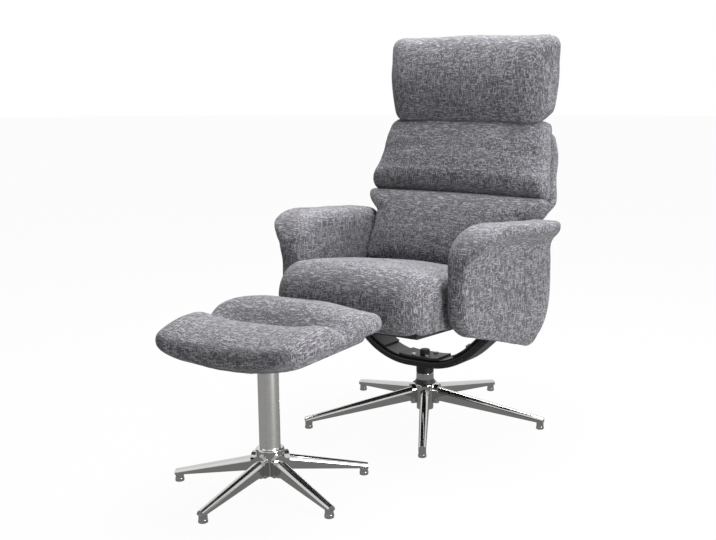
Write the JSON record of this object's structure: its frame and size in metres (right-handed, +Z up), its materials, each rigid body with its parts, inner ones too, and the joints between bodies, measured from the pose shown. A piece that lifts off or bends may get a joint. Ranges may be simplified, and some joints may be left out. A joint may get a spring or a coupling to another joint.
{
  "type": "swivel recliner with footstool",
  "caption": "Swivel push-back recliner on a chrome star base with a bent black bow, upholstered arms, two-part back, tilting headrest and a matching saddle-topped footstool.",
  "frame": {"origin": "where the chair's swivel axis meets the floor", "axes": "+Z up; -Y is the way the sitter faces, towards the footstool; +X is to the sitter's left"},
  "size_m": [0.7642, 1.261, 1.0907],
  "materials": {
    "chrome": "polished",
    "bow_black": "gloss black lacquer",
    "steel_black": "black powder coat",
    "steel_zinc": "zinc plated",
    "nylon_black": "moulded",
    "upholstery": "grey melange weave",
    "webbing": "elastic webbing",
    "plywood": "raw plywood"
  },
  "bodies": {
    "base": {"base_hub": "chrome", "base_leg_1": "chrome", "base_leg_2": "chrome", "base_leg_3": "chrome", "base_leg_4": "chrome", "base_leg_5": "chrome", "base_leg_screws": "steel_zinc", "base_glides": "nylon_black", "base_spindle": "steel_zinc", "hub_ring": "steel_black", "base_collar": "chrome", "swivel_washer": "nylon_black", "spindle_cap": "nylon_black"},
    "carriage": {"swivel_sleeve": "bow_black", "bow": "bow_black", "swivel_plate": "steel_black", "plate_screws": "steel_zinc", "bow_bolts": "steel_zinc", "side_plate_left": "steel_black", "side_plate_right": "steel_black", "arm_core_left": "plywood", "arm_core_right": "plywood", "arm_pad_left": "upholstery", "arm_pad_right": "upholstery", "arm_spacers": "steel_zinc", "arm_bolts": "steel_zinc", "arm_zip_pulls": "steel_zinc", "recline_pins": "steel_zinc", "recline_nuts": "steel_zinc"},
    "back": {"back_frame": "steel_black", "back_straps": "webbing", "back_pad_lower": "upholstery", "back_pad_upper": "upholstery", "back_shell": "upholstery", "recline_bushes": "nylon_black"},
    "headrest": {"headrest_pad": "upholstery", "headrest_core": "plywood", "headrest_levers": "steel_black", "headrest_pins": "steel_zinc"},
    "seat": {"seat_frame": "steel_black", "seat_straps": "webbing", "seat_pad": "upholstery", "seat_rod": "steel_zinc", "front_pins": "steel_zinc", "front_sliders": "nylon_black"},
    "stool": {"stool_hub": "chrome", "stool_leg_1": "chrome", "stool_leg_2": "chrome", "stool_leg_3": "chrome", "stool_leg_4": "chrome", "stool_leg_5": "chrome", "stool_leg_screws": "steel_zinc", "stool_glides": "nylon_black", "stool_column": "chrome", "stool_plate": "steel_black", "stool_board": "plywood", "stool_screws": "steel_zinc", "stool_pad_front": "upholstery", "stool_pad_rear": "upholstery"}
  },
  "joints": [
    {"name": "swivel", "type": "hinge", "parent": "base", "child": "carriage", "pos_m": [0, 0, 0.15], "axis": [0, 0, 1], "continuous": true},
    {"name": "recline", "type": "hinge", "parent": "carriage", "child": "back", "pos_m": [0, 0.118, 0.44], "axis": [-1, 0, 0], "range_deg": [0, 24]},
    {"name": "seat_tilt", "type": "hinge", "parent": "back", "child": "seat", "pos_m": [0, 0.1, 0.322], "axis": [-1, 0, 0], "range_deg": [-19.2, 0]},
    {"name": "headrest_tilt", "type": "hinge", "parent": "back", "child": "headrest", "pos_m": [0, 0.24, 0.85], "axis": [-1, 0, 0], "range_deg": [0, 17]},
    {"name": "stool_slide", "type": "slide", "parent": "base", "child": "stool", "axis": [0, -1, 0], "range_m": [0, 0.35]}
  ],
  "couplings": [
    {"joint": "seat_tilt", "follows": "recline", "ratio": -0.8}
  ]
}
